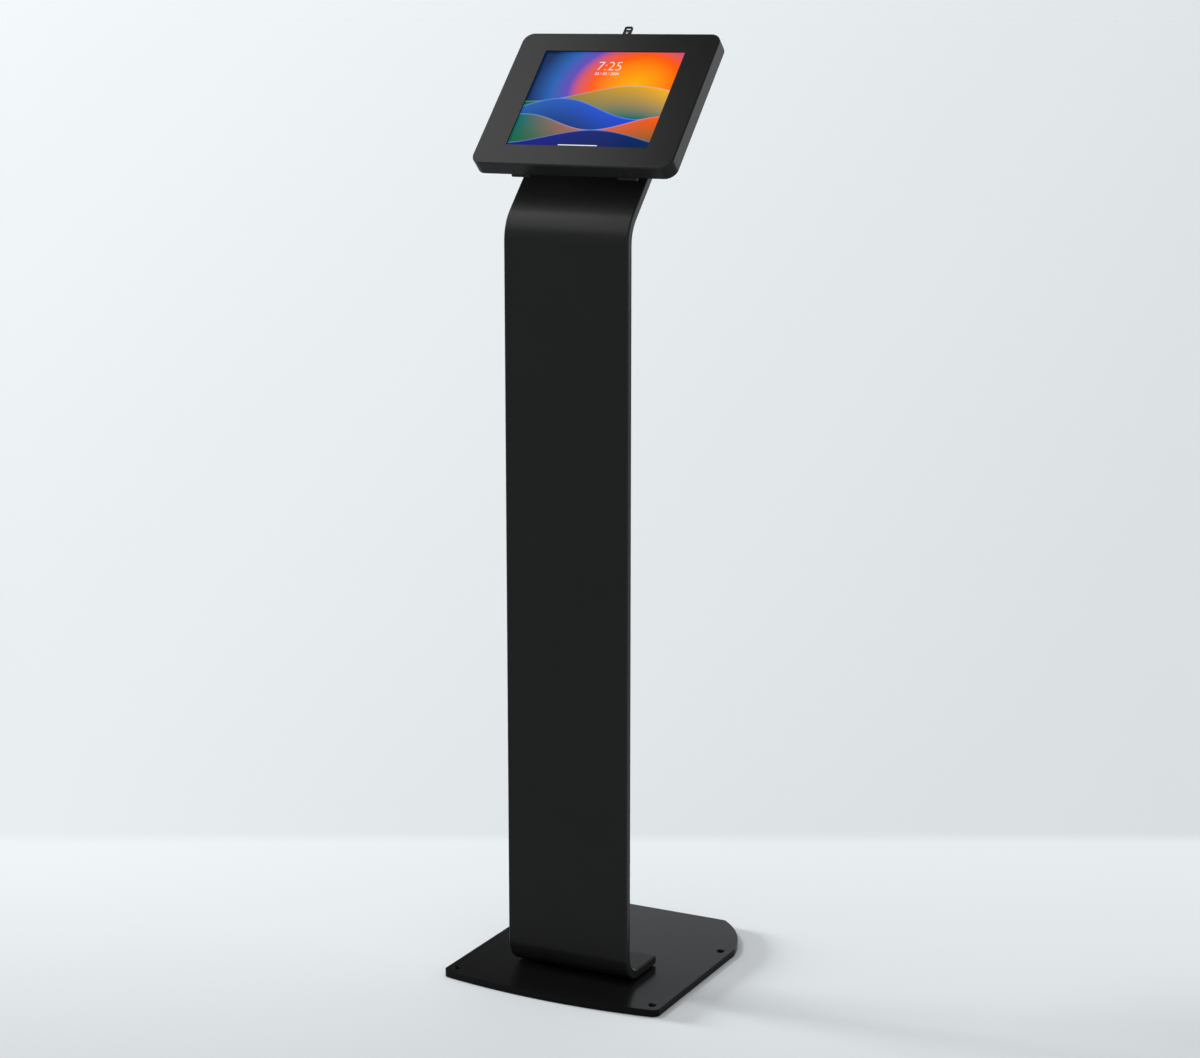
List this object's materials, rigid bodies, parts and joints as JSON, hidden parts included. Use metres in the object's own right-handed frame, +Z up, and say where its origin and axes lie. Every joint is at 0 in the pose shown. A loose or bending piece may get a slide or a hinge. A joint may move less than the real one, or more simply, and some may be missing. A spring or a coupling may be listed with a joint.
{
  "type": "tablet security kiosk stand",
  "caption": "Floor-standing tablet kiosk: flat base, wide bent-plate column and a leaning hinged enclosure with a window, key lock and catch that hold the tablet.",
  "frame": {"origin": "on the floor under the middle of the base", "axes": "+Z up, -Y towards the user in front of the screen, +X to the right seen from the front"},
  "size_m": [0.3208, 0.36, 1.261],
  "materials": {
    "black_coat": "fine black powder coat",
    "base_coat": "smooth, glossier black powder coat",
    "column_coat": "satin black powder coat",
    "rubber": "matt black rubber",
    "foam": "closed-cell foam",
    "zinc": "zinc plated",
    "lock_steel": "satin nickel",
    "tablet_metal": "fine blasted",
    "screen": "lit display under clear glass",
    "key_plastic": "moulded black"
  },
  "bodies": {
    "stand": {"base_plate": "base_coat", "base_pads": "rubber", "foot_gasket": "rubber", "foot_screws": "zinc", "column_plate": "column_coat", "mount_bracket": "black_coat", "bracket_bolts": "zinc", "bracket_nuts": "zinc", "cable_grommet": "rubber", "back_tray": "black_coat", "tray_screws": "zinc", "tray_nuts": "zinc", "foam_strips": "foam", "corner_blocks": "foam", "tablet_housing": "tablet_metal", "tablet_glass": "screen", "lock_catch": "black_coat", "catch_screws": "zinc", "hinge_tray_leaves": "black_coat", "tray_leaf_rivets": "black_coat", "hinge_pins": "black_coat"},
    "cover": {"front_cover": "black_coat", "window_gasket": "rubber", "hinge_cover_leaves": "black_coat", "cover_leaf_rivets": "black_coat", "lock_body": "zinc", "lock_nut": "zinc"},
    "plug": {"lock_plug": "lock_steel", "lock_cam": "zinc", "cam_screw": "zinc"},
    "key": {"key_blade": "lock_steel", "key_bow": "key_plastic"},
    "power": {"power_button": "tablet_metal"},
    "volume": {"volume_rocker": "tablet_metal"}
  },
  "joints": [
    {"name": "cover_hinge", "type": "hinge", "parent": "stand", "child": "cover", "pos_m": [0, -0.08558, 1.07441], "axis": [1, 0, 0], "range_deg": [0, 100]},
    {"name": "key_turn", "type": "hinge", "parent": "cover", "child": "plug", "pos_m": [0, 0.05864, 1.24529], "axis": [0, -0.6896, -0.7242], "range_deg": [0, 90]},
    {"name": "key_withdraw", "type": "slide", "parent": "plug", "child": "key", "axis": [0, 0.6896, 0.7242], "range_m": [0, 0.016]},
    {"name": "power_press", "type": "slide", "parent": "stand", "child": "power", "axis": [1, 0, 0], "range_m": [0, 0.0004], "stiffness_N_per_m": 400, "springref_m": -0.0004},
    {"name": "volume_press", "type": "slide", "parent": "stand", "child": "volume", "axis": [0, -0.6896, -0.7242], "range_m": [0, 0.0004], "stiffness_N_per_m": 400, "springref_m": -0.0004}
  ]
}
